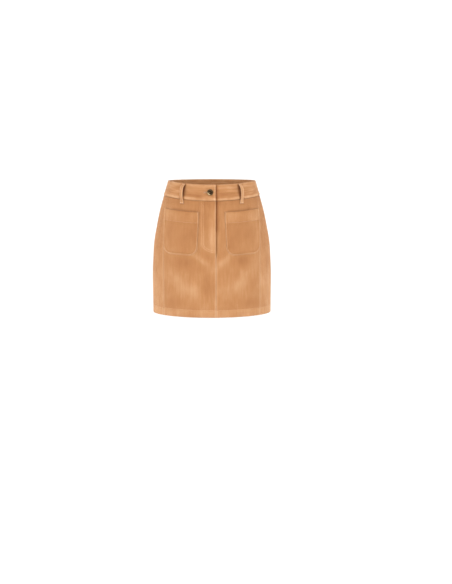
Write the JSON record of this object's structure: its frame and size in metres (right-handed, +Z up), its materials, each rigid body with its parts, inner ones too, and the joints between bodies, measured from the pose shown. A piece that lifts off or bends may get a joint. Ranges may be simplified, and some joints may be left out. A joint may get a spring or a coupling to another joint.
{
  "type": "corduroy mini skirt",
  "caption": "Short A-line corduroy skirt in worn form: side panels, patch pockets, belt loops, and a fly with a button on the waistband.",
  "frame": {"origin": "centre of the waist opening, halfway down the waistband", "axes": "+Z up through the waist, -Y out of the front, +X to the wearer's left"},
  "size_m": [0.3914, 0.2707, 0.4377],
  "materials": {
    "corduroy": "cotton corduroy, soft nap, camel brown",
    "zip_tape": "woven tape",
    "zip_metal": "satin",
    "old_brass": "darkened, polished on the high parts"
  },
  "bodies": {
    "root": {"front_right": "corduroy", "front_left": "corduroy", "side_right": "corduroy", "side_left": "corduroy", "back_right": "corduroy", "back_left": "corduroy", "waistband_right": "corduroy", "waistband_left": "corduroy", "pocket_right": "corduroy", "pocket_left": "corduroy", "belt_loop_front_right": "corduroy", "belt_loop_front_left": "corduroy", "belt_loop_back_right": "corduroy", "belt_loop_back_left": "corduroy", "belt_loop_center_back": "corduroy", "button": "old_brass", "zip_tape": "zip_tape", "zip_chain": "zip_metal", "zip_slider": "zip_metal"}
  },
  "joints": []
}
